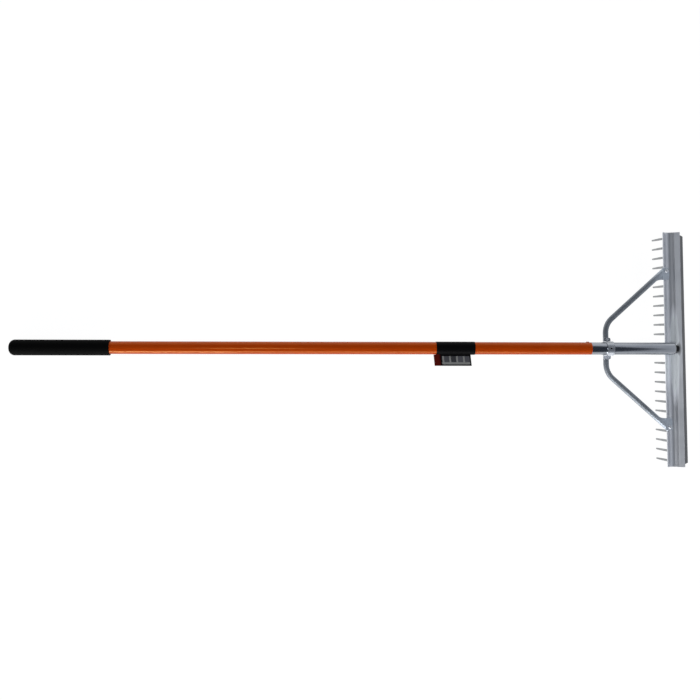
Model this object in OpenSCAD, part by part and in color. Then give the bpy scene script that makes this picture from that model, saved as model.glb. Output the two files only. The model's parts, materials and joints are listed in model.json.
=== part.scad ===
// Landscape rake, in millimetres.
// A painted tube handle with a closed rubber grip is riveted onto the necked end of a bare aluminium
// head tube. The head tube seats in an extruded aluminium rail that carries a row of pressed-in teeth,
// and a bent brace bar ties the tube to the rail.
// Every piece is drawn with the handle axis on X and the rail's front lip at X = 0, and is then laid
// down so that the tool rests on its tooth tips and on the grip's butt.

/* [Handle] */
// Outside diameter of the handle tube and of the head tube
handle_od = 31.8; // [28:0.1:36]
// Wall of the handle tube
handle_wall = 2.4; // [1.6:0.1:3.5]
// Length of the handle tube
handle_len = 1445; // [1000:5:1800]

/* [Grip] */
// Outside diameter of the grip
grip_od = 39; // [38:0.5:46]
// Length of the grip, with its closed butt
grip_len = 245; // [120:5:400]
// Thickness of the grip's closed butt
grip_butt_wall = 6; // [4:0.5:12]
// Corner radius of the butt
grip_corner_r = 14; // [4:0.5:16]
// Radius of the grooves moulded round the butt
grip_groove_r = 0.6; // [0.2:0.1:1.2]
// Thickness of the butt plug's head
plug_head_t = 3; // [2:0.5:6]
// Depth of the butt plug in the tube
plug_depth = 35; // [15:1:60]

/* [Head tube] */
// Length of the head tube that shows past the handle
head_tube_len = 219; // [190:1:300]
// Wall of the head tube
head_tube_wall = 2.2; // [1.6:0.1:3.5]
// Length of the necked spigot in the handle
spigot_len = 70; // [40:1:120]
// Wall of the necked spigot
spigot_wall = 2; // [1.5:0.1:3]
// Corner radius of the closed end
tube_end_r = 7; // [4:0.5:10]
// Length of the solid metal at the closed end
tube_end_len = 18; // [14:0.5:30]
// Reach of the closed end past the rail's front lip
tube_reach = 20.5; // [18:0.5:24]
// Run of the milled seat past the closed end
seat_run = 10; // [2:0.5:14]
// Distance of the rivet from the handle's end
rivet_inset = 8; // [7:0.5:20]
// Diameter of the rivet's shank
rivet_d = 4.8; // [4:0.1:6]

/* [Rail] */
// Width of the flat on the front lip
lip_land = 3; // [2:0.5:6]
// Thickness of the front lip
lip_t = 4; // [3:0.5:6]
// Width of the concave trough
trough_w = 26; // [22:0.5:32]
// Depth of the trough
trough_depth = 6; // [4:0.5:8]
// Thickness of the floor under the trough
floor_t = 9; // [8:0.5:14]
// Width of the flat underside
floor_w = 17; // [16:0.5:20]
// Width of the rear land behind the trough
land_w = 13; // [10:0.5:25]
// Rise of the rear land to its back edge
land_rise = 6; // [2:0.5:10]
// Thickness of the rear land
land_t = 4.5; // [3:0.5:7]
// Drop of the rear skirt
skirt_drop = 27; // [15:1:32]
// Slant of the rear skirt from upright
skirt_slant = 36; // [10:1:40]
// Thickness of the rear skirt
skirt_t = 3.5; // [2.5:0.5:6]
// Length cut off the skirt at each end of the rail
skirt_cut = 8; // [2:0.5:12]

/* [Teeth] */
// Number of teeth, an even count
tooth_count = 24; // [16:2:28]
// Distance between teeth
tooth_pitch = 25; // [24:0.5:32]
// Distance from the last tooth to the rail's end
tooth_margin = 13.5; // [10:0.5:30]
// Diameter of a tooth at its root
tooth_d = 6; // [4.5:0.1:7]
// Diameter of a tooth's round tip
tooth_tip_d = 4.4; // [3:0.1:4.4]
// Length of a tooth below the rail
tooth_len = 58; // [50:1:90]
// Depth of a tooth in the rail
tooth_seat = 7; // [5:0.5:7.5]
// Lean of the teeth towards the handle
tooth_lean = 13; // [5:1:22]

/* [Brace] */
// Diameter of the brace bar
bar_d = 14; // [12:0.5:16]
// Distance of the crossing from the rail's front lip
brace_x = 151; // [120:1:180]
// Straight run of the bar on each side of the handle axis
brace_stub = 40; // [34:1:60]
// Bend radius at the bar's centre line
brace_bend_r = 50; // [25:1:60]
// Thickness of the flattened feet
foot_t = 5; // [4:0.5:7]
// Reach of the feet over the rail's front lip
foot_reach = 12; // [10:0.5:16]
// Corner radius of the feet
foot_corner_r = 5; // [2:0.5:8]
// Length of the flare in front of the rail
flare_len = 33; // [20:1:40]
// Width of the flare on the inner side, from the foot's middle
flare_w = 23; // [18:1:30]

/* [Saddle clamp] */
// Width of the saddle strap along the handle
saddle_w = 18; // [16:0.5:24]
// Thickness of the saddle strap
saddle_t = 2.5; // [1.5:0.1:4]
// Length of each ear
ear_len = 9; // [8.5:0.5:16]
// Corner radius of the ears
ear_corner_r = 4; // [2:0.5:7]
// Thread diameter of the saddle bolts
saddle_bolt_d = 4; // [3:0.5:4]
// Depth of the spot faces under the bar
spot_depth = 1.2; // [0.8:0.1:2]

/* [Rail bolts] */
// Thread diameter of the bolts at the rail
rail_bolt_d = 6; // [5:0.5:6]
// Distance of the foot bolts behind the front lip
foot_bolt_x = 6; // [5:0.5:7]
// Length of the foot bolts under their heads
foot_bolt_len = 11.5; // [9:0.5:12]
// Thickness of the washers
washer_t = 1.2; // [0.8:0.1:2]

/* [Label] */
// Length of the card sleeve on the handle
sleeve_len = 98; // [60:1:150]
// Distance from the card sleeve to the handle's end
sleeve_inset = 299; // [100:1:600]
// Thickness of the card
card_t = 0.6; // [0.4:0.1:1.2]
// Reach of the card flag past the handle
flag_reach = 28; // [24:1:40]
// Length of the card flag
flag_len = 94; // [60:1:94]
// Shift of the flag towards the grip
flag_shift = 6; // [0:0.5:12]
// Slant of the flag's ends along its reach
flag_skew = 3; // [0:0.5:8]
// Thickness of the printed panel
panel_t = 0.3; // [0.2:0.05:0.5]
// Border of the card round the printed panel
panel_border = 3.5; // [2:0.5:5]
// Width of the coloured band beside the printed panel
panel_band = 20; // [12:0.5:24]

/* [Fits] */
// Radial gap between pieces that slip together
slip_gap = 0.1; // [0.05:0.01:0.3]
// Gap between curved faces that seat on each other
seat_gap = 0.2; // [0.1:0.05:0.4]
// Radial gap of a bolt in its hole
hole_gap = 0.2; // [0.1:0.05:0.5]
// Radial gap of a tooth in its hole
tooth_gap = 0.03; // [0.01:0.01:0.1]

/* [Hidden] */
$fn = 72;

// Longer than any cut needs, so that a cutter passes right through
through = 200;

// Stations along the handle
tube_r = handle_od / 2;
tube_end_x = tube_reach;
joint_x = tube_end_x - head_tube_len;
handle_x = joint_x - handle_len;
butt_x = handle_x - plug_head_t - grip_butt_wall;
handle_bore_r = tube_r - handle_wall;
spigot_r = handle_bore_r - slip_gap;
rivet_x = joint_x - rivet_inset;
grip_r = grip_od / 2;
// Turns of the butt's grooves round its rounded corner, in degrees
groove_turns = [30, 60];

// Rail profile, in X and Z
floor_z = -tube_r - seat_gap;
lip_z = floor_z + trough_depth;
under_z = floor_z - floor_t;
trough_r = (pow(trough_w / 2, 2) + pow(trough_depth, 2)) / (2 * trough_depth);
trough_x = lip_land + trough_w / 2;
crease_x = lip_land + trough_w;
rear_x = crease_x + land_w;
rear_z = lip_z + land_rise;
skirt_run = skirt_drop * tan(skirt_slant);
skirt_wide = skirt_t / cos(skirt_slant);
rail_len = (tooth_count - 1) * tooth_pitch + 2 * tooth_margin;

// Teeth, in line with the middle of the flat underside
tooth_x = trough_x - floor_t * tan(tooth_lean);
tip_r = tooth_tip_d / 2;
tip_x = tooth_x - (tooth_len - tip_r) * sin(tooth_lean);
tip_z = under_z - (tooth_len - tip_r) * cos(tooth_lean);

// Brace bar: a stub across the handle, a bend, and a straight leg that climbs to a foot on the rail's lip
bar_r = bar_d / 2;
bar_z = -tube_r - seat_gap - bar_r;
foot_y = round(tooth_count / 3) * tooth_pitch;
foot_z = lip_z + seat_gap;
foot_top = foot_z + foot_t;
rail_bolt_x = trough_x;
leg_dx = brace_x - brace_bend_r;
leg_dy = foot_y - brace_stub;
leg_len = sqrt(leg_dx * leg_dx + leg_dy * leg_dy - brace_bend_r * brace_bend_r);
bend_angle = atan2(leg_dx, leg_dy) + atan2(brace_bend_r, leg_len);
leg_pitch = atan2(foot_top - bar_r - bar_z, leg_len);
// Overlap of the straight runs into a bend, where the bar is drawn a little thinner
bend_lap = 1;
bend_thinning = 0.1;
// Straight pieces that draw the curve of a foot's inner edge
curve_steps = 8;

// Saddle clamp
saddle_in_r = tube_r + seat_gap;
saddle_out_r = saddle_in_r + saddle_t;
ear_z = bar_z + bar_r + seat_gap;
ear_y = saddle_out_r + ear_len;
saddle_bolt_y = saddle_out_r + ear_len / 2;

// Card label: the sleeve's end nearer the head, the radius inside it, and the flag's corner
sleeve_x = joint_x - sleeve_inset;
sleeve_in_r = tube_r + slip_gap;
flag_top_y = -sleeve_in_r - card_t / 2;
flag_x = sleeve_x - sleeve_len - flag_shift;

// Fastener proportions, each as a share of the thread or shank diameter
hex_flats = 1.6;
hex_head_h = 0.6;
hex_nut_h = 0.8;
shank_root = 0.3;
button_h = 0.55;
button_r = 0.85;
washer_od = 2.1;
spot_od = 2.2;
socket_d = 0.6;
rivet_head_r = 0.95;
rivet_crown_r = 0.65;
rivet_head_h = 0.3;
rivet_tail_d = 1.3;
thread_len = 2;

// Laid pose: a line that touches the butt's rounded corner and the tooth tips becomes the floor
corner_x = butt_x + grip_corner_r;
corner_z = -grip_r + grip_corner_r;
rest_dx = tip_x - corner_x;
rest_dz = tip_z - corner_z;
rest_len = sqrt(rest_dx * rest_dx + rest_dz * rest_dz);
lie = asin((tip_r - grip_corner_r) / rest_len) - atan2(rest_dz, rest_dx);
rest_z = corner_x * sin(lie) + corner_z * cos(lie) - grip_corner_r;
low_x = corner_x * cos(lie) + corner_z * sin(lie) - grip_corner_r;
high_x = (rear_x + skirt_run) * cos(lie) - (rear_z - skirt_drop) * sin(lie);

function tooth_name(i) = str("tooth_", i < 10 ? "0" : "", i);
function tooth_y(i) = (i - (tooth_count + 1) / 2) * tooth_pitch;

// Puts a piece that was drawn along the handle axis into the laid pose
module lay() {
  translate([-(low_x + high_x) / 2, 0, -rest_z]) rotate([0, -lie, 0]) children();
}

// Turns a profile of radius and station round the handle axis
module turned() {
  rotate([0, 90, 0]) rotate_extrude() children();
}

// Profile of a round bar end, closed at the far end by a rounded corner
module rounded_end(r, from, to, corner) {
  translate([0, from]) square([r, to - from - corner]);
  translate([0, from]) square([r - corner, to - from]);
  translate([r - corner, to - corner]) intersection() {
    circle(corner);
    square(corner);
  }
}

// Hexagon head or nut on Z, standing on its lower face
module hexagon(d, h) {
  cylinder(d = hex_flats * d / cos(30), h = h, $fn = 6);
}

// Hexagon bolt on Z: its head stands on the origin and its shank reaches down
module hex_bolt(d, reach) {
  hexagon(d, hex_head_h * d);
  translate([0, 0, -reach]) cylinder(d = d, h = reach + shank_root * d);
}

// Hexagon nut below the origin, bored for its bolt
module hex_nut(d) {
  difference() {
    translate([0, 0, -hex_nut_h * d]) hexagon(d, hex_nut_h * d);
    cylinder(d = d + 2 * hole_gap, h = 2 * through, center = true);
  }
}

// Round-headed bolt on Z, as hex_bolt
module button_bolt(d, reach) {
  head_r = button_r * d;
  head_h = button_h * d;
  dome_r = (head_r * head_r + head_h * head_h) / (2 * head_h);
  intersection() {
    translate([0, 0, head_h - dome_r]) sphere(dome_r);
    cylinder(r = head_r, h = head_h);
  }
  translate([0, 0, -reach]) cylinder(d = d, h = reach + shank_root * d);
}

// Flat washer below the origin, bored for its bolt
module flat_washer(d) {
  difference() {
    translate([0, 0, -washer_t]) cylinder(d = washer_od * d, h = washer_t);
    cylinder(d = d + 2 * hole_gap, h = 2 * through, center = true);
  }
}

// The children once on each side of the handle
module both_sides() {
  children();
  mirror([0, 1, 0]) children();
}

// Painted handle tube, drilled at the head end for the rivet
module handle_tube() {
  color("darkorange") lay() difference() {
    turned() translate([handle_bore_r, handle_x]) square([handle_wall, handle_len]);
    translate([rivet_x, 0, 0]) rotate([-90, 0, 0]) cylinder(d = rivet_d + 2 * hole_gap, h = through);
  }
}

// Plastic plug that closes the handle's butt and backs the grip
module butt_plug() {
  color("dimgray") lay() turned() {
    translate([0, handle_x - plug_head_t]) square([tube_r, plug_head_t]);
    translate([0, handle_x]) square([handle_bore_r - slip_gap, plug_depth]);
  }
}

// Rubber grip with a round closed butt and grooves moulded round it
module hand_grip() {
  color("black") lay() difference() {
    turned() {
      translate([0, 2 * butt_x + grip_len]) mirror([0, 1])
        rounded_end(grip_r, butt_x, butt_x + grip_len, grip_corner_r);
    }
    turned() translate([0, handle_x - plug_head_t]) square([tube_r + slip_gap, through + grip_len]);
    for (turn = groove_turns) {
      turned() translate([grip_r - grip_corner_r, butt_x + grip_corner_r])
        rotate(-turn) translate([grip_corner_r, 0]) circle(grip_groove_r);
    }
  }
}

// Head tube: necked spigot, full-size barrel and a solid rounded end tapped for the rail bolt
module head_tube() {
  color("silver") lay() difference() {
    turned() difference() {
      union() {
        translate([0, joint_x - spigot_len]) square([spigot_r, spigot_len + tube_end_r]);
        rounded_end(tube_r, joint_x, tube_end_x, tube_end_r);
      }
      translate([0, joint_x - spigot_len]) square([spigot_r - spigot_wall, spigot_len + 2 * head_tube_wall]);
      translate([0, joint_x + head_tube_wall])
        square([tube_r - head_tube_wall, head_tube_len - head_tube_wall - tube_end_len]);
    }
    translate([rivet_x, 0, 0]) rotate([-90, 0, 0]) cylinder(d = rivet_d + 2 * hole_gap, h = through);
    translate([rail_bolt_x, 0, -through])
      cylinder(d = rail_bolt_d + 2 * hole_gap, h = through + floor_z + thread_len * rail_bolt_d + hole_gap);
    translate([-brace_x, 0, 0]) cylinder(d = saddle_bolt_d + 2 * hole_gap, h = through);
  }
}

// Blind rivet on the handle's side, with its set tail inside the spigot
module handle_rivet() {
  // The tail's face stays clear of the curved bore by the bore's own sag under it
  tail_r = rivet_tail_d * rivet_d / 2;
  bore_r = spigot_r - spigot_wall;
  tail_y = sqrt(bore_r * bore_r - tail_r * tail_r) - slip_gap;
  color("gray") lay() translate([rivet_x, 0, 0]) rotate([-90, 0, 0]) {
    translate([0, 0, tube_r])
      cylinder(r1 = rivet_head_r * rivet_d, r2 = rivet_crown_r * rivet_d, h = rivet_head_h * rivet_d);
    translate([0, 0, tail_y - rivet_d]) {
      cylinder(r = tail_r, h = rivet_d);
      cylinder(d = rivet_d, h = tube_r - tail_y + (1 + shank_root) * rivet_d);
    }
  }
}

// Section of the rail: front lip, trough, thick floor, rear land and slanted skirt
module rail_section() {
  difference() {
    polygon([[0, lip_z], [0, lip_z - lip_t], [trough_x - floor_w / 2, under_z],
      [trough_x + floor_w / 2, under_z], [crease_x, lip_z - land_t], [crease_x, lip_z]]);
    translate([trough_x, floor_z + trough_r]) circle(trough_r);
  }
  polygon([[crease_x, lip_z], [rear_x, rear_z], [rear_x, rear_z - land_t], [crease_x, lip_z - land_t]]);
}

// Section of the skirt, joined to the rear land's back edge
module skirt_section() {
  polygon([[rear_x, rear_z], [rear_x + skirt_run, rear_z - skirt_drop],
    [rear_x + skirt_run - skirt_wide, rear_z - skirt_drop], [rear_x - skirt_wide, rear_z - land_t / 2]]);
}

// Extruded rail, drilled for the teeth and bolts and coped for the head tube
module head_rail() {
  color("lightsteelblue") lay() difference() {
    rotate([90, 0, 0]) {
      linear_extrude(rail_len, center = true) rail_section();
      linear_extrude(rail_len - 2 * skirt_cut, center = true) skirt_section();
    }
    translate([-through, 0, 0]) rotate([0, 90, 0])
      cylinder(r = tube_r + seat_gap, h = through + tube_end_x + seat_run);
    for (i = [1:tooth_count]) {
      tooth_place(i) cylinder(d = tooth_d + 2 * tooth_gap, h = 2 * tooth_seat, center = true);
    }
    translate([rail_bolt_x, 0, -through]) cylinder(d = rail_bolt_d + 2 * hole_gap, h = 2 * through);
    both_sides() translate([foot_bolt_x, foot_y, foot_top - foot_bolt_len - hole_gap])
      cylinder(d = rail_bolt_d + 2 * hole_gap, h = through);
  }
}

// Frame of one tooth: origin on the rail's underside, Z up along the tooth
module tooth_place(i) {
  translate([tooth_x, tooth_y(i), under_z]) rotate([0, tooth_lean, 0]) children();
}

// Round tooth with a tapered lower half and a round tip
module tooth(i) {
  taper = tooth_len / 2;
  color("gainsboro") lay() tooth_place(i) {
    translate([0, 0, -taper]) cylinder(d = tooth_d, h = taper + tooth_seat - tooth_gap);
    translate([0, 0, -tooth_len + tip_r]) cylinder(r1 = tip_r, d2 = tooth_d, h = taper - tip_r);
    translate([0, 0, -tooth_len + tip_r]) sphere(tip_r);
  }
}

// One half of the brace bar from the handle's middle plane to a foot
module brace_half() {
  translate([-brace_x, 0, bar_z]) rotate([-90, 0, 0]) cylinder(d = bar_d, h = brace_stub + bend_lap);
  translate([-brace_x + brace_bend_r, brace_stub, bar_z]) {
    mirror([1, 0, 0]) rotate_extrude(angle = bend_angle)
      translate([brace_bend_r, 0]) circle(bar_r - bend_thinning);
    rotate([0, 0, -bend_angle]) translate([-brace_bend_r, 0, 0]) rotate([leg_pitch - 90, 0, 0])
      translate([0, 0, -bend_lap]) cylinder(d = bar_d, h = leg_len + bend_lap + bar_r);
  }
}

// A point in plan, from the foot's middle on the lip, as seen along the leg
function on_leg(p) = [p[0] * cos(bend_angle) - p[1] * sin(bend_angle),
  p[0] * sin(bend_angle) + p[1] * cos(bend_angle)];

// A point on a curve from a to c that leaves along the line to b and arrives along the line from b
function curve_point(a, b, c, t) = (1 - t) * (1 - t) * a + 2 * t * (1 - t) * b + t * t * c;

// Flattened foot: a flare that climbs with the leg, and a plate that lies on the lip
module brace_foot() {
  // The flare starts inside the leg, between its centre line and its inner edge
  flare_dy = flare_len / tan(bend_angle);
  flare_start = [-flare_len, -flare_dy - bar_r / 2];
  flare_turn = [(bar_r / 2 - flare_w) * tan(bend_angle), -flare_w];
  flare_end = [-foot_corner_r, -flare_w];
  flare_plan = concat([[foot_corner_r, -flare_w], [foot_corner_r, bar_r / 2], [-flare_len, -flare_dy]],
    [for (i = [0:curve_steps]) curve_point(flare_start, flare_turn, flare_end, i / curve_steps)]);
  foot_w = flare_w + bar_r;
  translate([0, foot_y, foot_top]) rotate([0, 0, -bend_angle]) rotate([leg_pitch, 0, 0])
    translate([0, 0, -foot_t]) linear_extrude(foot_t - bend_thinning)
      polygon([for (p = flare_plan) on_leg(p)]);
  translate([-foot_corner_r, foot_y - flare_w, foot_z]) linear_extrude(foot_t) {
    square([foot_reach, foot_w]);
    translate([0, foot_corner_r]) square([foot_corner_r + foot_reach, foot_w - 2 * foot_corner_r]);
    for (side = [foot_corner_r, foot_w - foot_corner_r]) {
      translate([foot_reach, side]) circle(foot_corner_r);
    }
  }
}

// Bent brace bar, fitted over the rail's lip and drilled for its bolts
module brace_bar() {
  color("slategray") lay() both_sides() difference() {
    union() {
      brace_half();
      brace_foot();
    }
    translate([-seat_gap, -through, foot_z - through]) cube([through, 3 * through, through]);
    translate([bar_r, -through, foot_top]) cube([through, 3 * through, through]);
    translate([foot_bolt_x, foot_y, -through]) cylinder(d = rail_bolt_d + 2 * hole_gap, h = 2 * through);
    translate([-brace_x, saddle_bolt_y, -through]) {
      cylinder(d = saddle_bolt_d + 2 * hole_gap, h = 2 * through);
      cylinder(d = spot_od * saddle_bolt_d, h = through + bar_z - bar_r + spot_depth);
    }
  }
}

// Outline of one ear, seen from above and starting at the strap's inner face
module ear_plan() {
  run = ear_y - saddle_in_r;
  translate([-saddle_w / 2, 0]) square([saddle_w, run - ear_corner_r]);
  translate([ear_corner_r - saddle_w / 2, 0]) square([saddle_w - 2 * ear_corner_r, run]);
  for (side = [-1, 1]) {
    translate([side * (saddle_w / 2 - ear_corner_r), run - ear_corner_r]) circle(ear_corner_r);
  }
}

// Saddle strap over the head tube, with an ear on each side that sits on the brace bar
module saddle_strap() {
  color("lightgray") lay() difference() {
    union() {
      translate([-brace_x - saddle_w / 2, 0, 0]) rotate([90, 0, 90]) linear_extrude(saddle_w) difference() {
        union() {
          circle(saddle_out_r);
          translate([-saddle_out_r, ear_z]) square([2 * saddle_out_r, -ear_z]);
        }
        circle(saddle_in_r);
        translate([-saddle_in_r, -2 * saddle_out_r]) square([2 * saddle_in_r, 2 * saddle_out_r]);
        translate([-saddle_out_r, -2 * saddle_out_r]) square([2 * saddle_out_r, 2 * saddle_out_r + ear_z]);
      }
      both_sides() translate([-brace_x, saddle_in_r, ear_z]) linear_extrude(saddle_t) ear_plan();
    }
    translate([-brace_x, 0, 0]) cylinder(d = saddle_bolt_d + 2 * hole_gap, h = through);
    both_sides() translate([-brace_x, saddle_bolt_y, -through])
      cylinder(d = saddle_bolt_d + 2 * hole_gap, h = 2 * through);
  }
}

// Bolts through the saddle's ears and the brace bar
module saddle_bolts() {
  color("gray") lay() both_sides() translate([-brace_x, saddle_bolt_y, ear_z + saddle_t])
    hex_bolt(saddle_bolt_d, saddle_t + seat_gap + bar_d + saddle_bolt_d - spot_depth);
}

// Nuts of the saddle bolts, in the bar's spot faces
module saddle_nuts() {
  color("gray") lay() both_sides() translate([-brace_x, saddle_bolt_y, bar_z - bar_r + spot_depth])
    hex_nut(saddle_bolt_d);
}

// Set screw that stops the saddle from sliding, sunk in the strap
module saddle_screw() {
  color("black") lay() translate([-brace_x, 0, tube_r - head_tube_wall]) difference() {
    cylinder(d = saddle_bolt_d, h = head_tube_wall + saddle_t);
    translate([0, 0, head_tube_wall]) cylinder(d = socket_d * saddle_bolt_d, h = through, $fn = 6);
  }
}

// Round-headed bolts through the feet into the rail
module foot_bolts() {
  color("gainsboro") lay() both_sides() translate([foot_bolt_x, foot_y, foot_top])
    button_bolt(rail_bolt_d, foot_bolt_len);
}

// Bolt up through the rail's floor into the head tube's solid end
module rail_bolt() {
  color("gainsboro") lay() translate([rail_bolt_x, 0, under_z - washer_t]) mirror([0, 0, 1])
    hex_bolt(rail_bolt_d, washer_t + floor_t + thread_len * rail_bolt_d);
}

// Washer under the rail
module rail_washer() {
  color("gray") lay() translate([rail_bolt_x, 0, under_z]) flat_washer(rail_bolt_d);
}

// Outline of the flag: a slanted rectangle, drawn in by a border on every side
module flag_outline(border_left, border) {
  polygon([for (corner = [[0, 0], [0, 1], [1, 1], [1, 0]])
    let (reach = corner[1] == 0 ? border : flag_reach - border)
    [flag_x + (corner[0] == 0 ? border_left : flag_len - border) + flag_skew * reach / flag_reach,
     flag_top_y - reach]]);
}

// Card wrapped round the handle, with its glued ends standing off as a flag
module label_card() {
  color("black") lay() {
    turned() translate([sleeve_in_r, sleeve_x - sleeve_len]) square([card_t, sleeve_len]);
    translate([0, 0, -card_t]) linear_extrude(2 * card_t) flag_outline(0, 0);
  }
}

// Pale printed panel on the flag
module label_panel() {
  color("lightgray") lay() translate([0, 0, card_t])
    linear_extrude(panel_t) flag_outline(panel_band, panel_border);
}

handle_tube();
butt_plug();
hand_grip();
head_tube();
handle_rivet();
head_rail();
brace_bar();
saddle_strap();
saddle_bolts();
saddle_nuts();
saddle_screw();
foot_bolts();
rail_bolt();
rail_washer();
label_card();
label_panel();
for (i = [1:tooth_count]) {
  tooth(i);
}
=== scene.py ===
# %% [markdown]
# # A landscape rake, dressed from its CAD frame
# The rake's solids were drawn in CAD and packed as one model. This lesson gives each solid the finish
# that the real piece has, and photographs the tool from above on a white floor. The CAD holds every
# form, so no shape is added here. Everything is in metres. The handle runs along X with the grip on the
# left, the rail runs along Y, and Z is up.

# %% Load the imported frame
import json
import math

import bpy
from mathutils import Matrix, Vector


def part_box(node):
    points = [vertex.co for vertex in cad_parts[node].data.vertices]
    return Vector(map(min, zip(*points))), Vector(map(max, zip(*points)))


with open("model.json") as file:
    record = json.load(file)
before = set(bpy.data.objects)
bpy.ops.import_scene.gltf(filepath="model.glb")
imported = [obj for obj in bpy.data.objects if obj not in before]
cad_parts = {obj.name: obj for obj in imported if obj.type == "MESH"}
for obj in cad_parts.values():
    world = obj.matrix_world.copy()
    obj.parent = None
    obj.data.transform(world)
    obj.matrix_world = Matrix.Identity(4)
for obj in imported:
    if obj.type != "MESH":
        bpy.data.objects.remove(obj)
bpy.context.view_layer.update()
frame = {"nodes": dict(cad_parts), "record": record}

# %% [markdown]
# ## The handle's slope
# The tool lies on its tooth tips and on the grip's butt, so the handle slopes by about two degrees.
# Patterns that follow the handle need that slope, because drawn lines and scuffs run along the tube and
# not along the floor. It could be typed in as a number. The grip is a mount in the record and its axis
# gives the slope, so it is read from there and stays right when a size changes.

# %% Find the handle's slope
MM = 0.001
grip_mount = frame["record"]["mounts"][0]
handle_direction = -Vector(grip_mount["axis"])
handle_slope = math.atan2(handle_direction.z, handle_direction.x)
print("handle slope in degrees:", round(math.degrees(handle_slope), 3))

# %% [markdown]
# ## Camera
# The photo looks almost straight down from a little over two metres. A camera could be placed by eye.
# This one was worked out from points that are easy to see: the ends of the grip and rail, the tooth
# tips and the label. The picture was cropped round the tool, so its centre is not the lens axis, and a
# small shift stands for that crop.

# %% Place the camera
camera_data = bpy.data.cameras.new("overhead_camera")
camera_data.sensor_width = 36
camera_data.lens = 43.74
camera_data.shift_x = 0.0089
camera_data.shift_y = -0.0852
camera_data.clip_end = 50
tilt_degrees = (3.691, -5.035, 0.1183)
camera = bpy.data.objects.new("overhead_camera", camera_data)
camera.location = (-0.22092, 0.00662, 2.1813)
camera.rotation_euler = [math.radians(angle) for angle in tilt_degrees]
bpy.context.scene.collection.objects.link(camera)
bpy.context.scene.camera = camera
bpy.context.scene.view_settings.view_transform = "Standard"
print("camera height in metres:", camera.location.z)

# %% [markdown]
# ## Three small helpers for finishes
# Colours are written as the hex values that a colour picker shows. Shaders work in linear light, so one
# function converts them. The next adds a node, sets what it is given and links what comes from other
# nodes. The last starts an empty finish. With these, a finish reads as a list of what it is made of.
#
# A Mix node holds the sockets for every kind of value, so its colour sockets are reached by number. The
# numbers get names here.

# %% Colour and node helpers
MIX_SHARE, MIX_FROM, MIX_TO = 0, 6, 7
MIXED = 2


def linear(hex_colour):
    """Linear RGBA of an sRGB hex colour."""
    channels = [int(hex_colour[i:i + 2], 16) / 255 for i in (1, 3, 5)]
    return [c / 12.92 if c <= 0.04045 else ((c + 0.055) / 1.055) ** 2.4 for c in channels] + [1.0]


def add(tree, kind, inputs=None, **settings):
    """A new node with its settings; an input is a value, or the output socket that feeds it."""
    node = tree.nodes.new(kind)
    for name, value in settings.items():
        setattr(node, name, value)
    for name, value in (inputs or {}).items():
        if isinstance(value, bpy.types.NodeSocket):
            tree.links.new(value, node.inputs[name])
        else:
            node.inputs[name].default_value = value
    return node


def new_finish(name):
    """An empty material, with its node tree and its Object coordinates in metres."""
    material = bpy.data.materials.new(name)
    material.use_nodes = True
    tree = material.node_tree
    tree.nodes.clear()
    place = add(tree, "ShaderNodeTexCoord").outputs["Object"]
    return material, tree, place


finishes = {}
print("white is", linear("#ffffff"))

# %% [markdown]
# ## Floor
# The tool lies on a plain white sweep. A brightly lit floor would turn white, but the same light would
# bleach the tool. So the floor shows white to the camera and to reflections in metal by a glow of its
# own. Under that glow it is an ordinary matt surface that takes the light and keeps a soft shadow, so
# the tool still sits on something. The glow is chosen so that open floor just reaches white.

# %% White floor
floor_size = 14
floor_glow = 0.95
bpy.ops.object.select_all(action="DESELECT")
bpy.ops.mesh.primitive_plane_add(size=floor_size, location=(0, 0, 0))
floor = bpy.context.object
floor.name = "white_floor"
white_paper, tree, place = new_finish("white paper sweep")
path = add(tree, "ShaderNodeLightPath")
seen = path.outputs["Is Camera Ray"]
for ray in ("Is Glossy Ray", "Is Transmission Ray"):
    seen = add(tree, "ShaderNodeMath", {0: seen, 1: path.outputs[ray]}, operation="MAXIMUM").outputs[0]
matt = add(tree, "ShaderNodeBsdfDiffuse", {"Color": linear("#f2f2f2")})
half_matt = add(tree, "ShaderNodeBsdfDiffuse", {"Color": linear("#666666")})
glow = add(tree, "ShaderNodeEmission", {"Color": linear("#ffffff"), "Strength": floor_glow})
lifted = add(tree, "ShaderNodeAddShader", {0: half_matt.outputs[0], 1: glow.outputs[0]})
sweep = add(tree, "ShaderNodeMixShader", {0: seen, 1: matt.outputs[0], 2: lifted.outputs[0]})
add(tree, "ShaderNodeOutputMaterial", {"Surface": sweep.outputs[0]})
floor.data.materials.append(white_paper)
print("floor:", floor.name)

# %% [markdown]
# ## Room
# The bare tube works as a mirror, so it shows the room of the photo: a dark wedge along its top is the
# ceiling, and its bright flanks are the floor and the walls. A picture of a studio could stand for that
# room. A few soft steps of grey need no picture, and each can be put exactly where the tube should show
# it.
#
# The room is dark overhead and white near the horizon. The pale part on the head's side has a bowed
# edge, which makes the wedge taper to a point. Each step is written as the direction where it starts
# and the one where it is full, between -1 and 1 along X, Y or Z.

# %% Studio room
world = bpy.data.worlds.new("studio_room")
bpy.context.scene.world = world
world.use_nodes = True
tree = world.node_tree
tree.nodes.clear()
direction = add(tree, "ShaderNodeTexCoord").outputs["Generated"]
toward = add(tree, "ShaderNodeSeparateXYZ", {0: direction}).outputs

bow_offset = 0.2
bow_depth = 0.07
aside = add(tree, "ShaderNodeMath", {0: toward["Y"], 1: bow_offset}, operation="ADD").outputs[0]
bow = add(tree, "ShaderNodeMath", {0: aside, 1: aside}, operation="MULTIPLY").outputs[0]
bowed_x = add(tree, "ShaderNodeMath", {0: bow, 1: bow_depth, 2: toward["X"]},
              operation="MULTIPLY_ADD").outputs[0]

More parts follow.
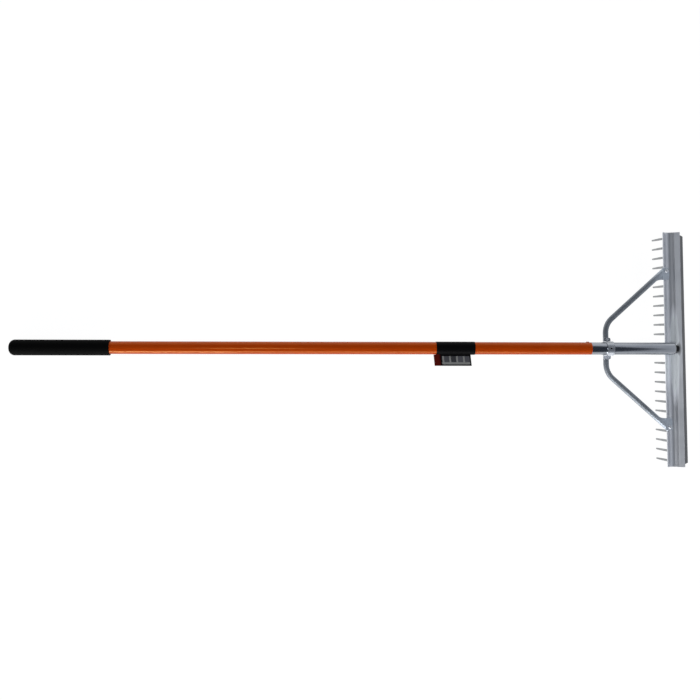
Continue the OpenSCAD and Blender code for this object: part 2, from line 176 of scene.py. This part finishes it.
steps = {
    "head side": (bowed_x, 0.35, 0.368),
    "grip side": (toward["X"], -0.3, -0.42),
    "grip end": (toward["X"], -0.85, -0.55),
    "far side": (toward["Y"], 0.72, 1.0),
    "near side": (toward["Y"], -0.85, -1.0),
    "horizon": (toward["Z"], 0.28, 0.14),
}
shares = {}
for name, (measure, start, full) in steps.items():
    share = add(tree, "ShaderNodeMapRange", {"Value": measure, "From Min": start, "From Max": full},
                interpolation_type="SMOOTHSTEP")
    shares[name] = share.outputs[0]
# The pale part on the grip's side fades out again towards the grip's end of the room.
pale_part = add(tree, "ShaderNodeMath", {0: shares["grip side"], 1: shares["grip end"]},
                operation="MULTIPLY")
shares["grip side"] = pale_part.outputs[0]

greys = {"head side": "#d6d9df", "grip side": "#a8aaae", "far side": "#cdd0d5", "near side": "#e2e5ea",
         "horizon": "#ffffff"}
room = linear("#3f464f")
for name, grey in greys.items():
    mix = add(tree, "ShaderNodeMix", {MIX_SHARE: shares[name], MIX_FROM: room, MIX_TO: linear(grey)},
              data_type="RGBA")
    room = mix.outputs[MIXED]
glow = add(tree, "ShaderNodeBackground", {"Color": room, "Strength": 1.0})
add(tree, "ShaderNodeOutputWorld", {"Surface": glow.outputs[0]})
print("room:", world.name, "with", len(greys), "soft steps")

# %% [markdown]
# ## Softboxes
# A bare lamp would draw hard points on the gloss. Wide boxes of light draw long soft streaks, as in the
# photo. One long softbox stands low on the near side and a weaker one on the far side. The near one
# ends before the place that the bare tube mirrors, because it would cover the dark wedge there. A
# streak box is seen only in gloss, and draws the white line along the grip end of the handle. A small
# lamp overhead draws the thin streak along the handle's top.

# %% Softboxes
def softbox(name, place, target, width, length, watts):
    """A rectangular lamp at a place, facing a target."""
    lamp = bpy.data.lights.new(name, "AREA")
    lamp.shape = "RECTANGLE"
    lamp.size = width
    lamp.size_y = length
    lamp.energy = watts
    stand = bpy.data.objects.new(name, lamp)
    stand.location = place
    stand.rotation_euler = (Vector(target) - Vector(place)).to_track_quat("-Z", "Y").to_euler()
    bpy.context.scene.collection.objects.link(stand)
    return stand


near_box = softbox("near_softbox", place=(-0.95, -3.4, 0.9), target=(-0.95, 0, 0),
                   width=4.7, length=1.6, watts=68)
streak_box = softbox("streak_softbox", place=(-1.6, -3.4, 0.4), target=(-0.5, 0, 0.05),
                     width=2.1, length=0.9, watts=60)
streak_box.visible_diffuse = False
far_box = softbox("far_softbox", place=(0, 3.2, 1.4), target=(0, 0, 0),
                  width=5.0, length=1.2, watts=5)
top_lamp = softbox("top_lamp", place=(-0.56, -0.5, 3.0), target=(-0.3, 0, 0),
                   width=0.5, length=0.15, watts=6)
print("lamps:", [lamp.name for lamp in (near_box, streak_box, far_box, top_lamp)])

# %% [markdown]
# ## Orange powder coat on the handle
# The handle is aluminium tube with a baked powder coat. Powder melts into a smooth film with a slight
# ripple, called orange peel, about 2 mm from crest to crest. It is glossy rather than mirror-like, its
# colour drifts a little along the tube, and handling leaves fine scuffs that run lengthwise and only
# dull the gloss. All of this could be painted on an image. Noise needs no unwrapping, and it has no
# seam on a tube. The gloss is warm, so the near side turns yellower where it mirrors the near softbox.

# %% Orange powder coat
drift_size = 60 * MM
scuff_width = 1.5 * MM
scuff_stretch = (0.03, 1, 1)
# The real peel is about 2 mm wide. It is drawn at 5 mm, because a finer one would not show from here.
peel_width = 5 * MM
peel_height = 0.15 * MM
powder_coat, tree, place = new_finish("orange powder coat")
along = add(tree, "ShaderNodeMapping", {"Vector": place, "Rotation": (0, handle_slope, 0)}).outputs[0]
drift = add(tree, "ShaderNodeTexNoise", {"Vector": along, "Scale": 1 / drift_size, "Detail": 3})
colour = add(tree, "ShaderNodeMix", {MIX_SHARE: drift.outputs["Fac"], MIX_FROM: linear("#c24006"),
                                     MIX_TO: linear("#cd4b09")}, data_type="RGBA")
stretched = add(tree, "ShaderNodeMapping", {"Vector": along, "Scale": scuff_stretch})
scuffs = add(tree, "ShaderNodeTexNoise", {"Vector": stretched.outputs[0], "Scale": 1 / scuff_width,
                                          "Detail": 2})
gloss = add(tree, "ShaderNodeMapRange", {"Value": scuffs.outputs["Fac"], "From Min": 0.35,
                                         "From Max": 0.75, "To Min": 0.13, "To Max": 0.24})
peel = add(tree, "ShaderNodeTexNoise", {"Vector": along, "Scale": 1 / peel_width, "Detail": 1})
ripple = add(tree, "ShaderNodeBump", {"Height": peel.outputs["Fac"], "Strength": 0.15,
                                      "Distance": peel_height})
# A deep orange under a warm gloss, with a faint yellow sheen towards the edges of the tube.
shader = add(tree, "ShaderNodeBsdfPrincipled", {
    "Base Color": colour.outputs[MIXED], "Roughness": gloss.outputs[0], "Normal": ripple.outputs[0],
    "Specular Tint": linear("#ffc86a"), "Sheen Weight": 0.1, "Sheen Tint": linear("#ffb84a"),
    "Sheen Roughness": 0.35})
add(tree, "ShaderNodeOutputMaterial", {"Surface": shader.outputs[0]})
finishes["handle_paint"] = powder_coat
print("finish:", powder_coat.name)

# %% [markdown]
# ## Black rubber of the grip
# The grip is moulded in soft black rubber. The mould was blasted, so the skin has a fine grain, and
# stripping it off the core leaves faint lines along the length. Rubber scatters light weakly and
# broadly. A plain dark colour would look like a hole in the picture, so the grain breaks up a dull
# sheen along the top.

# %% Grip rubber
# Noise that is squeezed along X turns into lines along the handle.
ALONG_HANDLE = (0.02, 1, 1)
flow_width = 4 * MM
# The real grain is finer than a millimetre. It is drawn at 3 mm, so that it shows.
grain_size = 3 * MM
grain_height = 0.3 * MM
rubber, tree, place = new_finish("moulded black rubber")
along = add(tree, "ShaderNodeMapping", {"Vector": place, "Rotation": (0, handle_slope, 0)}).outputs[0]
stretched = add(tree, "ShaderNodeMapping", {"Vector": along, "Scale": ALONG_HANDLE})
flow = add(tree, "ShaderNodeTexNoise", {"Vector": stretched.outputs[0], "Scale": 1 / flow_width,
                                        "Detail": 3})
colour = add(tree, "ShaderNodeMix", {MIX_SHARE: flow.outputs["Fac"], MIX_FROM: linear("#050505"),
                                     MIX_TO: linear("#0a0a0a")}, data_type="RGBA")
grain = add(tree, "ShaderNodeTexVoronoi", {"Vector": along, "Scale": 1 / grain_size})
skin = add(tree, "ShaderNodeBump", {"Height": grain.outputs["Distance"], "Strength": 0.3,
                                    "Distance": grain_height})
dull = add(tree, "ShaderNodeMapRange", {"Value": flow.outputs["Fac"], "To Min": 0.6, "To Max": 0.75})
# Nearly black and matt, with a weak surface reflection.
shader = add(tree, "ShaderNodeBsdfPrincipled", {
    "Base Color": colour.outputs[MIXED], "Roughness": dull.outputs[0], "Normal": skin.outputs[0],
    "IOR": 1.12})
add(tree, "ShaderNodeOutputMaterial", {"Surface": shader.outputs[0]})
finishes["grip_rubber"] = rubber
print("finish:", rubber.name)

# %% [markdown]
# ## Plastic of the butt plug
# The plug closes the handle's open end behind the grip. It is moulded in plain black polythene, and it
# shows only when the grip is off, so two close shades with a little speckle are enough.

# %% Plug polythene
speck_size = 3 * MM
plug, tree, place = new_finish("black polythene")
speck = add(tree, "ShaderNodeTexNoise", {"Vector": place, "Scale": 1 / speck_size, "Detail": 2})
colour = add(tree, "ShaderNodeMix", {MIX_SHARE: speck.outputs["Fac"], MIX_FROM: linear("#141414"),
                                     MIX_TO: linear("#1d1d1d")}, data_type="RGBA")
# A shade paler than the rubber round it, with a waxy half gloss.
shader = add(tree, "ShaderNodeBsdfPrincipled", {"Base Color": colour.outputs[MIXED], "Roughness": 0.5})
add(tree, "ShaderNodeOutputMaterial", {"Surface": shader.outputs[0]})
finishes["plug_plastic"] = plug
print("finish:", plug.name)

# %% [markdown]
# ## Painted light and shade on bare metal
# The lamps give the bare metal only a part of its tones, so some light and shade is painted into its
# colour:
# a face is made brighter or whiter where a highlight is painted, and darker where shade or a shadow is
# painted. Such marks could be painted on an image. Here a mark is a place, a size and a factor for the
# tone, because places can be taken from the frame's own boxes.

# %% Steps and spots of painted light and shade
SPOT_CORE, SPOT_EDGE = 0.4, 1.2


def painted_tone(tree, place, steps, spots):
    """The tone at each place, as a factor that paints light or shade onto the metal's colour.

    A step changes the tone along X: where it starts, where it ends and by how much. A spot changes it
    round a place: its middle, its half sizes and by how much.
    """
    x = add(tree, "ShaderNodeSeparateXYZ", {0: place}).outputs["X"]
    factors = [add(tree, "ShaderNodeMapRange", {"Value": x, "From Min": start, "From Max": end,
                                                "To Min": 1.0, "To Max": change}).outputs[0]
               for start, end, change in steps]
    for middle, half_size, change in spots:
        away = add(tree, "ShaderNodeVectorMath", {0: place, 1: middle}, operation="SUBTRACT")
        away = add(tree, "ShaderNodeVectorMath", {0: away.outputs[0], 1: half_size}, operation="DIVIDE")
        away = add(tree, "ShaderNodeVectorMath", {0: away.outputs[0]}, operation="LENGTH")
        spot = add(tree, "ShaderNodeMapRange", {"Value": away.outputs["Value"], "From Min": SPOT_CORE,
                                                "From Max": SPOT_EDGE, "To Min": change, "To Max": 1.0})
        factors.append(spot.outputs[0])
    tone = factors[0]
    for factor in factors[1:]:
        tone = add(tree, "ShaderNodeMath", {0: tone, 1: factor}, operation="MULTIPLY").outputs[0]
    return tone


print("a spot is even up to", SPOT_CORE, "and gone at", SPOT_EDGE, "of its half size")

# %% [markdown]
# ## Metals with lines
# Each bare piece was worked in its own way, and each way leaves lines along it: drawing on a tube, a
# die on a rail, rolling on a strap. The lines could be cut into the mesh, but stretched noise is
# lighter and never runs out of detail. The pieces differ in a few numbers only, so one function makes
# all their finishes. It lays the lines along the given direction, and rounds sharp edges for the eye
# as wear does. Real lines are finer: these are drawn about a millimetre wide, because thinner ones
# would not show.

# %% Metals with lines
WORN_EDGE = 0.6 * MM
# The white of the fullest painted highlight: no painted tone gets paler than this.
HIGHLIGHT_WHITE = "#f5fafd"


def lined_metal(name, dark, pale, smooth, rough, line_mm, stretch, bloom_mm, depth_mm,
                steps=(), spots=(), highlight_matt=0.0):
    """Metal whose lines are line_mm wide and run where stretch is small, clouded in patches of bloom_mm.

    Its roughness lies between smooth and rough. The last argument is the share of the metal's own shine
    that a painted highlight takes away where the tone is doubled, so that the highlight turns matt white.
    """
    material, tree, place = new_finish(name)
    along = add(tree, "ShaderNodeMapping", {"Vector": place, "Rotation": (0, handle_slope, 0)}).outputs[0]
    stretched = add(tree, "ShaderNodeMapping", {"Vector": along, "Scale": stretch})
    lines = add(tree, "ShaderNodeTexNoise", {"Vector": stretched.outputs[0], "Scale": 1 / (line_mm * MM),
                                             "Detail": 4, "Roughness": 0.6})
    bloom = add(tree, "ShaderNodeTexNoise", {"Vector": along, "Scale": 1 / (bloom_mm * MM), "Detail": 4})
    both = add(tree, "ShaderNodeMath", {0: lines.outputs["Fac"], 1: bloom.outputs["Fac"]}, operation="ADD")
    share = add(tree, "ShaderNodeMapRange", {"Value": both.outputs[0], "From Min": 0.7, "From Max": 1.3})
    colour = add(tree, "ShaderNodeMix", {MIX_SHARE: share.outputs[0], MIX_FROM: linear(dark),
                                         MIX_TO: linear(pale)}, data_type="RGBA")
    gloss = add(tree, "ShaderNodeMapRange", {"Value": share.outputs[0], "To Min": rough, "To Max": smooth})
    worn_edge = add(tree, "ShaderNodeBevel", {"Radius": WORN_EDGE}, samples=4)
    relief = add(tree, "ShaderNodeBump", {"Height": lines.outputs["Fac"], "Strength": 0.2,
                                          "Distance": depth_mm * MM, "Normal": worn_edge.outputs[0]})
    shader = add(tree, "ShaderNodeBsdfPrincipled", {
        "Base Color": colour.outputs[MIXED], "Metallic": 1.0, "Roughness": gloss.outputs[0],
        "Normal": relief.outputs[0]})
    # Steps and spots paint light and shade into the colour; painted shade darkens the reflection too,
    # through the specular tint.
    if steps or spots:
        tone = painted_tone(tree, place, steps, spots)
        toned = add(tree, "ShaderNodeVectorMath", {0: colour.outputs[MIXED], 1: tone},
                    operation="MULTIPLY")
        toned = add(tree, "ShaderNodeVectorMath", {0: toned.outputs[0], 1: linear(HIGHLIGHT_WHITE)[:3]},
                    operation="MINIMUM")
        edge = add(tree, "ShaderNodeMath", {0: tone, 1: 1.0}, operation="MINIMUM")
        tree.links.new(toned.outputs[0], shader.inputs["Base Color"])
        tree.links.new(edge.outputs[0], shader.inputs["Specular Tint"])
        if highlight_matt:
            metal_share = add(tree, "ShaderNodeMapRange", {"Value": tone, "From Min": 1.0, "From Max": 2.0,
                                                           "To Min": 1.0, "To Max": 1 - highlight_matt})
            tree.links.new(metal_share.outputs[0], shader.inputs["Metallic"])
    add(tree, "ShaderNodeOutputMaterial", {"Surface": shader.outputs[0]})
    return material


ALONG_RAIL = (1, 0.02, 1)
ALL_WAYS = (1, 1, 1)
print("edges look worn to a radius in mm of", WORN_EDGE / MM)

# %% [markdown]
# ## Tube, strap and brace
# The head tube is drawn aluminium with a polish that mirrors the room; the rim at its closed end is
# darkened as painted shade. The strap over it is rolled strip, with a painted highlight on its near ear,
# and the brace is dull bar stock whose flattened feet are painted paler than its bends, as painted light.
# One grey for all three would melt them into one piece, so each keeps its own gloss.

# %% Tube, strap and brace
tube_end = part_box("head_tube")[1].x
rail_low, rail_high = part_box("head_rail")
strap_middle = (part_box("saddle_strap")[0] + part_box("saddle_strap")[1]) / 2
# Half a spot's size in height: so large that only its length and width count.
ANY_HEIGHT = 1
# Smooth enough to mirror the room. The rim at the closed end is darkened as painted shade.
shaded_rim = (tube_end - 6 * MM, tube_end - 3 * MM, 0.35)
finishes["tube_aluminium"] = lined_metal(
    "drawn aluminium", dark="#9599a0", pale="#a3a7ad", smooth=0.07, rough=0.1,
    line_mm=1.0, stretch=ALONG_HANDLE, bloom_mm=60, depth_mm=0.01, steps=[shaded_rim])
# Softer gloss than the tube, so the strap reads as a separate band; its near ear is whitened and made matt
# as a painted highlight.
near_ear_highlight = ((strap_middle.x, -20 * MM, strap_middle.z), (14 * MM, 12 * MM, ANY_HEIGHT), 2.0)
finishes["strap_aluminium"] = lined_metal(
    "rolled aluminium strip", dark="#a4a8ae", pale="#b6bac0", smooth=0.2, rough=0.26,
    line_mm=1.0, stretch=ALONG_RAIL, bloom_mm=30, depth_mm=0.01, spots=[near_ear_highlight], highlight_matt=0.5)
# Dull grey without a highlight. The flattened feet are painted paler, as painted light that lifts the
# shade under the rail's lip.
lit_feet = (rail_low.x - 45 * MM, rail_low.x - 5 * MM, 2.1)
finishes["bar_aluminium"] = lined_metal(
    "dull bar aluminium", dark="#82888f", pale="#969ca3", smooth=0.58, rough=0.66,
    line_mm=2.0, stretch=ALL_WAYS, bloom_mm=25, depth_mm=0.03, steps=[lit_feet])
print("metals:", [finishes[slot].name for slot in ("tube_aluminium", "strap_aluminium", "bar_aluminium")])

# %% [markdown]
# ## Rail
# The rail is one aluminium extrusion, with a satin skin and lines along its length. Under the light its
# flats
# differ in tone: the trough is darker than the lip and the land behind it is paler. Light alone gives only
# a part of this, so the rest is painted into the colour, with steps across the rail and spots on it:
# painted shade in the trough, on the slanted rear skirt and on the land towards the near end, painted
# light on the land, painted highlights in the trough on both sides of the tube and on the lip, and a
# painted shadow behind the tube's end.

# %% Extruded rail
skirt_reach = 20.3 * MM
land_width = 12.2 * MM
skirt_start = rail_high.x - skirt_reach
crease = skirt_start - land_width
# Painted shade in the trough, darker than the lip.
shaded_trough = (rail_low.x + 4 * MM, crease - 6 * MM, 0.76)
# Painted light on the land behind the crease.
lit_land = (crease - 1 * MM, crease + 0.5 * MM, 1.28)
# Painted shade on the slanted rear skirt.
shaded_skirt = (skirt_start - 0.5 * MM, skirt_start, 0.3)
# A painted shadow of the tube's end on the land behind it.
tube_end_shadow = ((tube_end + 11 * MM, 0, 0), (8 * MM, 18 * MM, ANY_HEIGHT), 0.02)
# Painted highlights in the trough on both sides of the tube, whitened and made matt.
near_trough_highlight = ((crease - 5 * MM, -16 * MM, 0), (9 * MM, 115 * MM, ANY_HEIGHT), 2.8)
far_trough_highlight = ((crease - 5 * MM, 20 * MM, 0), (9 * MM, 50 * MM, ANY_HEIGHT), 1.8)
# A painted highlight on the lip near the tube.
lip_highlight = ((rail_low.x + 6 * MM, -50 * MM, 0), (11 * MM, 60 * MM, ANY_HEIGHT), 1.4)
# Painted shade on the land towards the near end.
shaded_land_end = ((crease + 7 * MM, -250 * MM, 0), (10 * MM, 190 * MM, ANY_HEIGHT), 0.76)
# Satin: broad soft tones, with painted light and shade that change from one flat of the rail to the next.
finishes["rail_aluminium"] = lined_metal(
    "extruded aluminium", dark="#d4d7dd", pale="#e0e3e8", smooth=0.44, rough=0.52,
    line_mm=1.5, stretch=ALONG_RAIL, bloom_mm=45, depth_mm=0.02,
    steps=[shaded_trough, lit_land, shaded_skirt],
    spots=[tube_end_shadow, near_trough_highlight, far_trough_highlight, lip_highlight, shaded_land_end], highlight_matt=0.8)
print("metal:", finishes["rail_aluminium"].name)

# %% [markdown]
# ## Teeth and fasteners
# The teeth are steel pins with a grey plating. Bolts, nuts and the washer have a brighter zinc plating,
# and the screw in the strap is blackened with oxide. They are small, so a polished finish would
# sparkle and a plain grey would look like plastic. A satin one with fine lines lies between.

# %% Steels
# Grey plating that catches a thin light line along each tooth.
finishes["tooth_steel"] = lined_metal(
    "plated tooth steel", dark="#8e9092", pale="#a8aaac", smooth=0.34, rough=0.44,
    line_mm=0.8, stretch=ALL_WAYS, bloom_mm=12, depth_mm=0.02)
# A brighter and softer grey, so that the heads stand out from the dull bar.
finishes["fastener_steel"] = lined_metal(
    "zinc plated steel", dark="#c2c6cc", pale="#d6d9de", smooth=0.48, rough=0.56,
    line_mm=0.8, stretch=ALL_WAYS, bloom_mm=5, depth_mm=0.02)
# A black that hardly shines.
finishes["black_steel"] = lined_metal(
    "black oxide steel", dark="#0c0d0f", pale="#1a1b1e", smooth=0.4, rough=0.55,
    line_mm=0.6, stretch=ALL_WAYS, bloom_mm=4, depth_mm=0.02)
print("metals:", [finishes[slot].name for slot in ("tooth_steel", "fastener_steel", "black_steel")])

# %% [markdown]
# ## Card label
# A printed card is wrapped round the handle and glued to itself, and its ends stand off as a flag. The
# card is black with a smooth print varnish, and the flag's grip end is a dark red band. The band could
# be a second material on some faces, but its edge leans and would need new faces. A test on the place
# draws it sharply.

# %% Black card with a red band
# The flag's ends lean by 3 mm over its reach of 28 mm.
LABEL_LEAN = 3 / 28


def label_place(tree, place):
    """X along the label, set right for the lean of its ends, and Y."""
    parts = add(tree, "ShaderNodeSeparateXYZ", {0: place})
    leaning = add(tree, "ShaderNodeMath", {0: parts.outputs["Y"], 1: LABEL_LEAN, 2: parts.outputs["X"]},
                  operation="MULTIPLY_ADD")
    return leaning.outputs[0], parts.outputs["Y"]


card_low, card_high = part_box("label_card")
band_start, band_end = card_low.x + 11 * MM, card_low.x + 16 * MM
# The band is on the flag alone, which leaves the sleeve at the handle's near side.
flag_side, sleeve_side = -16.5 * MM, -15.5 * MM
# Card fibre is finer than this. It is drawn at 3 mm, so that the varnish does not look flat.
card_fibre = 3 * MM
fibre_height = 0.05 * MM
card, tree, place = new_finish("black varnished card")
x, y = label_place(tree, place)
band = add(tree, "ShaderNodeMapRange", {"Value": x, "From Min": band_start, "From Max": band_end,
                                        "To Min": 1, "To Max": 0})
on_flag = add(tree, "ShaderNodeMapRange", {"Value": y, "From Min": flag_side, "From Max": sleeve_side,
                                           "To Min": 1, "To Max": 0})
red_here = add(tree, "ShaderNodeMath", {0: band.outputs[0], 1: on_flag.outputs[0]}, operation="MULTIPLY")
fibre = add(tree, "ShaderNodeTexNoise", {"Vector": place, "Scale": 1 / card_fibre, "Detail": 3})
black = add(tree, "ShaderNodeMix", {MIX_SHARE: fibre.outputs["Fac"], MIX_FROM: linear("#050506"),
                                    MIX_TO: linear("#0d0d0f")}, data_type="RGBA")
colour = add(tree, "ShaderNodeMix", {MIX_SHARE: red_here.outputs[0], MIX_FROM: black.outputs[MIXED],
                                     MIX_TO: linear("#5e130c")}, data_type="RGBA")
relief = add(tree, "ShaderNodeBump", {"Height": fibre.outputs["Fac"], "Strength": 0.15,
                                      "Distance": fibre_height})
# Deep black with a soft varnish, so that the sleeve stays dark against the orange.
shader = add(tree, "ShaderNodeBsdfPrincipled", {"Base Color": colour.outputs[MIXED], "Roughness": 0.45,
                                                "IOR": 1.12, "Normal": relief.outputs[0]})
add(tree, "ShaderNodeOutputMaterial", {"Surface": shader.outputs[0]})
finishes["card_black"] = card
print("finish:", card.name, "box:", list(card_low), list(card_high))

# %% [markdown]
# ## Pale panel on the label
# A panel of uncoated paper on the flag carries a row of plain grey blocks above a blank strip. The
# blocks could be cut as pieces. They have no thickness on the real label, so they are ink: the place
# along the panel is counted in blocks, and each count draws its own grey.

# %% Printed panel
panel_low, panel_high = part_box("label_panel")
block_pitch = 17.5 * MM
block_gap = 0.25
first_block = panel_low.x - 1 * MM
strip_top = panel_low.y + 5.5 * MM
# Paper fibre is finer than this. It is drawn at 2.5 mm, so that the paper does not look flat.
paper_fibre = 2.5 * MM
print_panel, tree, place = new_finish("pale printed paper")
x, y = label_place(tree, place)
start = add(tree, "ShaderNodeMath", {0: x, 1: first_block}, operation="SUBTRACT")
step = add(tree, "ShaderNodeMath", {0: start.outputs[0], 1: block_pitch}, operation="DIVIDE")
part_way = add(tree, "ShaderNodeMath", {0: step.outputs[0]}, operation="FRACT")
block = add(tree, "ShaderNodeMath", {0: part_way.outputs[0], 1: block_gap}, operation="GREATER_THAN")
count = add(tree, "ShaderNodeMath", {0: step.outputs[0]}, operation="FLOOR")
chance = add(tree, "ShaderNodeTexWhiteNoise", {"W": count.outputs[0]}, noise_dimensions="1D")
ink = add(tree, "ShaderNodeMix", {MIX_SHARE: chance.outputs["Value"], MIX_FROM: linear("#26262b"),
                                  MIX_TO: linear("#58585e")}, data_type="RGBA")
above_strip = add(tree, "ShaderNodeMath", {0: y, 1: strip_top}, operation="GREATER_THAN")
printed = add(tree, "ShaderNodeMath", {0: block.outputs[0], 1: above_strip.outputs[0]},
              operation="MULTIPLY")
fibre = add(tree, "ShaderNodeTexNoise", {"Vector": place, "Scale": 1 / paper_fibre, "Detail": 3})
paper = add(tree, "ShaderNodeMix", {MIX_SHARE: fibre.outputs["Fac"], MIX_FROM: linear("#8a8a87"),
                                    MIX_TO: linear("#9a9a97")}, data_type="RGBA")
colour = add(tree, "ShaderNodeMix", {MIX_SHARE: printed.outputs[0], MIX_FROM: paper.outputs[MIXED],
                                     MIX_TO: ink.outputs[MIXED]}, data_type="RGBA")
# Matt grey paper, a little warm beside the metal.
shader = add(tree, "ShaderNodeBsdfPrincipled", {"Base Color": colour.outputs[MIXED], "Roughness": 0.55})
add(tree, "ShaderNodeOutputMaterial", {"Surface": shader.outputs[0]})
finishes["card_print"] = print_panel
print("finish:", print_panel.name, "box:", list(panel_low), list(panel_high))

# %% [markdown]
# ## Dress the CAD nodes
# The record says which finish each solid takes. The solids keep their meshes, and only their material
# slots change.

# %% Give each node its finish
for subpart in frame["record"]["subparts"]:
    node = frame["nodes"][subpart["node"]]
    node.data.materials.clear()
    node.data.materials.append(finishes[subpart["material_slot"]])
